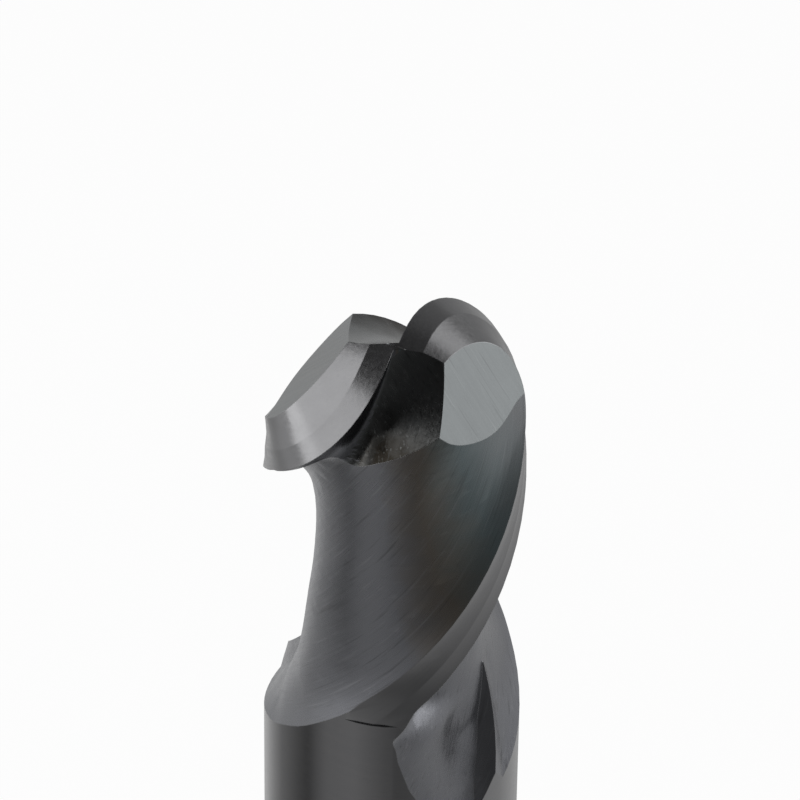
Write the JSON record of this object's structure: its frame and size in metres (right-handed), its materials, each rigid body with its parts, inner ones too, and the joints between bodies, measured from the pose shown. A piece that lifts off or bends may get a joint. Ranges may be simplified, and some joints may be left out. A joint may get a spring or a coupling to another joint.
{
  "type": "ball nose end mill",
  "caption": "Solid carbide ball nose end mill: half-round cutting tip, helical flutes that run out into a plain round shank for a collet.",
  "frame": {"origin": "centre of the shank's flat end, which the tool stands on", "axes": "+Z along the tool's axis, from the shank's end towards the tip of the ball; the first cutting edge crosses the level of the ball's centre at 211 degrees from +X, counter-clockwise seen from the tip"},
  "size_m": [0.01, 0.01, 0.075],
  "materials": {
    "coated_carbide": "dark grey nitride coating over fine grinding marks, satin, brighter along the ground edges"
  },
  "bodies": {
    "root": {"end_mill": "coated_carbide"}
  },
  "joints": []
}
